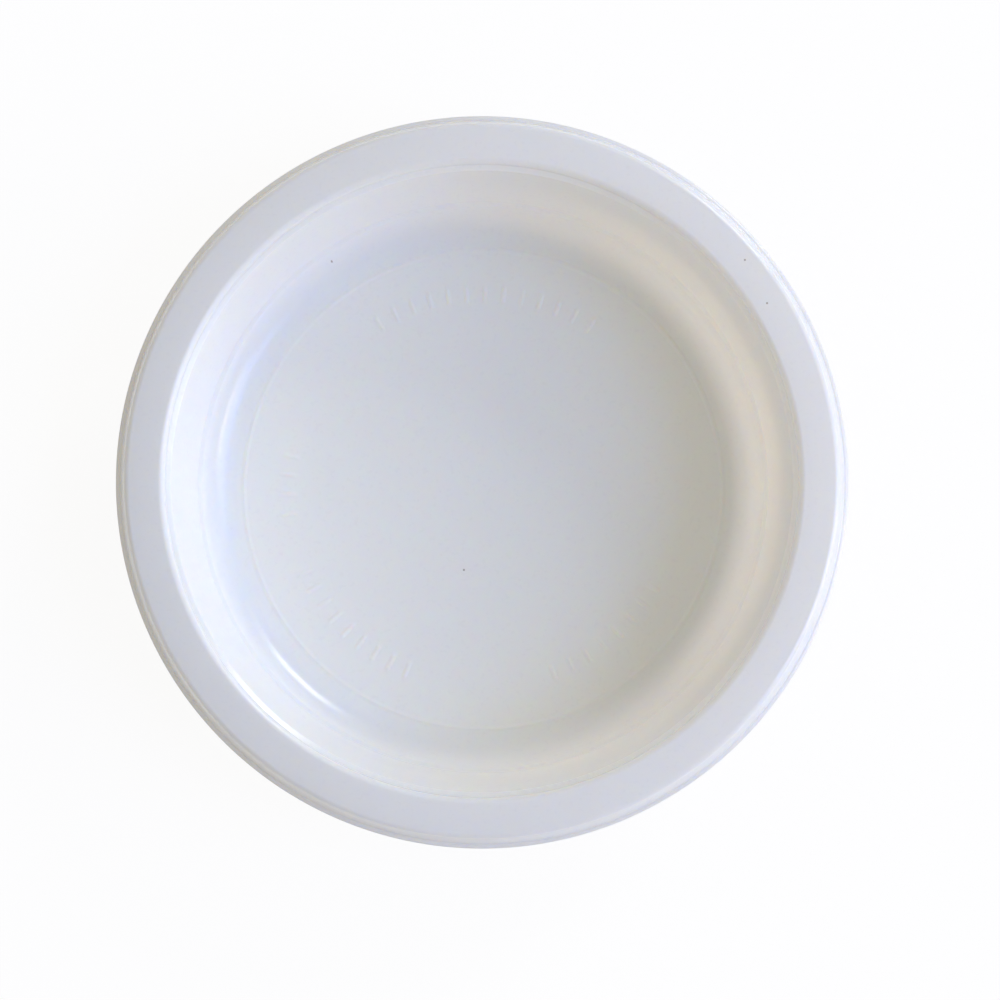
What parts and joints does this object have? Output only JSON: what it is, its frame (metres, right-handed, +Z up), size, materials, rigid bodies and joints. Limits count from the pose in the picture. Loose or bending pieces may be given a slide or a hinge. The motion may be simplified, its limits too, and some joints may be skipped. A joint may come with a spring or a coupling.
{
  "type": "disposable deep plate",
  "caption": "Round deep plate moulded from thin glossy white plastic sheet, with a flat rim, a stacking ledge and a wide flat floor.",
  "frame": {"origin": "middle of the underside of the floor, where the plate stands", "axes": "+Z up along the plate's axis, X and Y across it"},
  "size_m": [0.205, 0.205, 0.034],
  "materials": {
    "plastic": "smooth moulded gloss, slightly translucent"
  },
  "bodies": {
    "root": {"plate": "plastic"}
  },
  "joints": []
}
